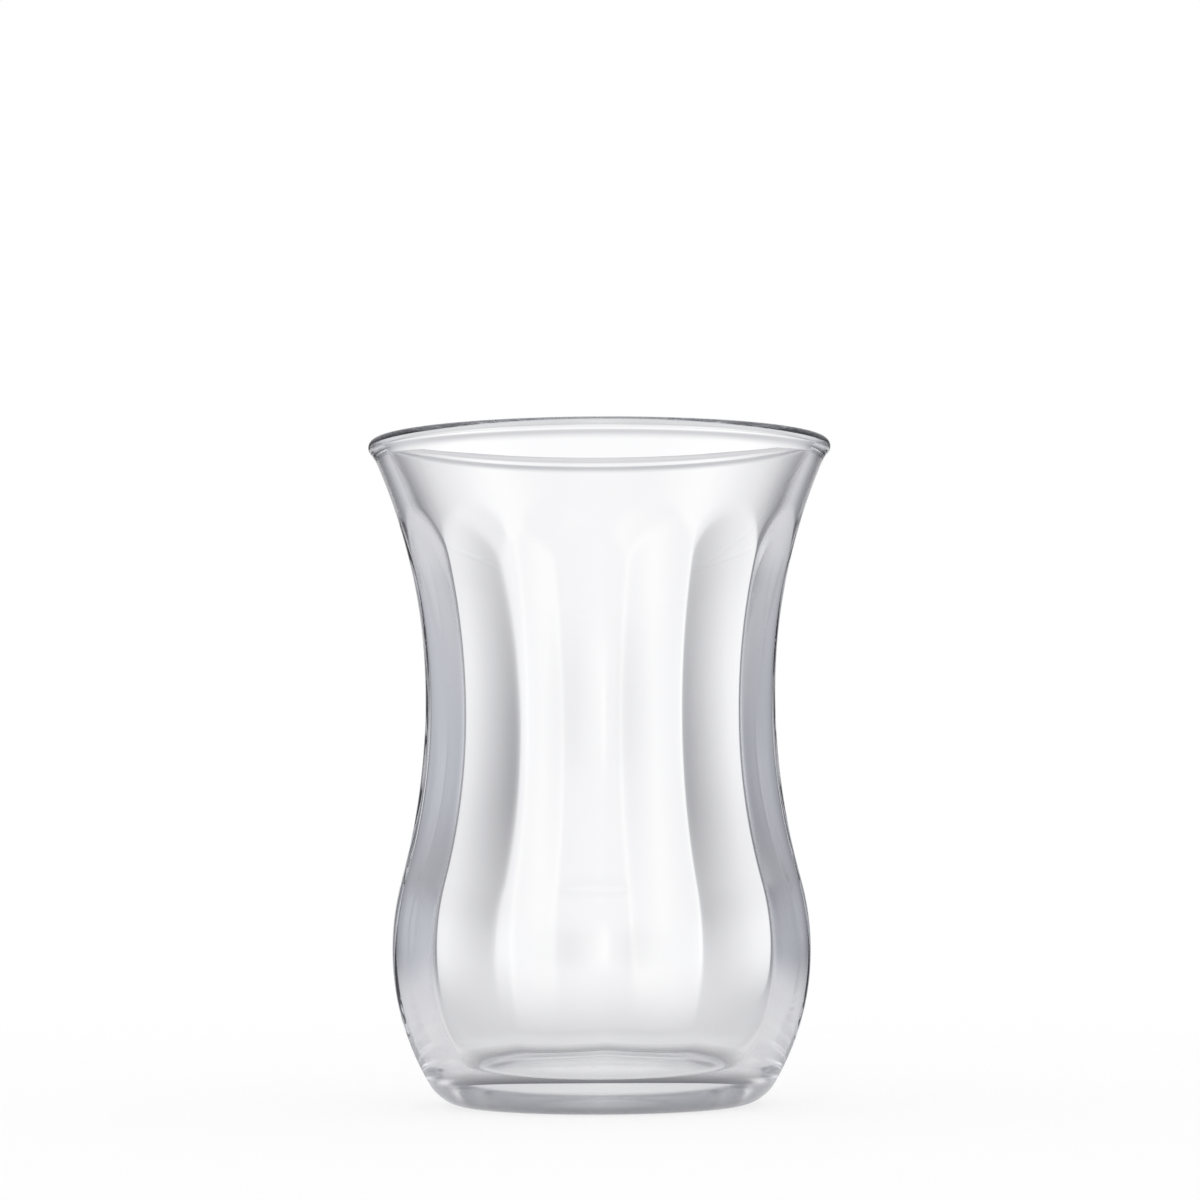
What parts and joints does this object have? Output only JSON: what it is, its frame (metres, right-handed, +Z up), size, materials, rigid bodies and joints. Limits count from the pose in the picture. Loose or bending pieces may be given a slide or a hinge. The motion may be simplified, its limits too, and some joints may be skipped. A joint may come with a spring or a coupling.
{
  "type": "chai glass",
  "caption": "Waisted tea glass of clear glass, with a beaded flared rim, a narrow waist to hold it by, a round bulb, a heavy floor and faint arched panels inside.",
  "frame": {"origin": "centre of the standing ring, on the table plane", "axes": "+Z up along the glass's axis, -Y towards the front of the pictured view"},
  "size_m": [0.063, 0.063, 0.09],
  "materials": {
    "clear_glass": "fire-polished, clear soda-lime glass"
  },
  "bodies": {
    "root": {"tea_glass": "clear_glass"}
  },
  "joints": []
}
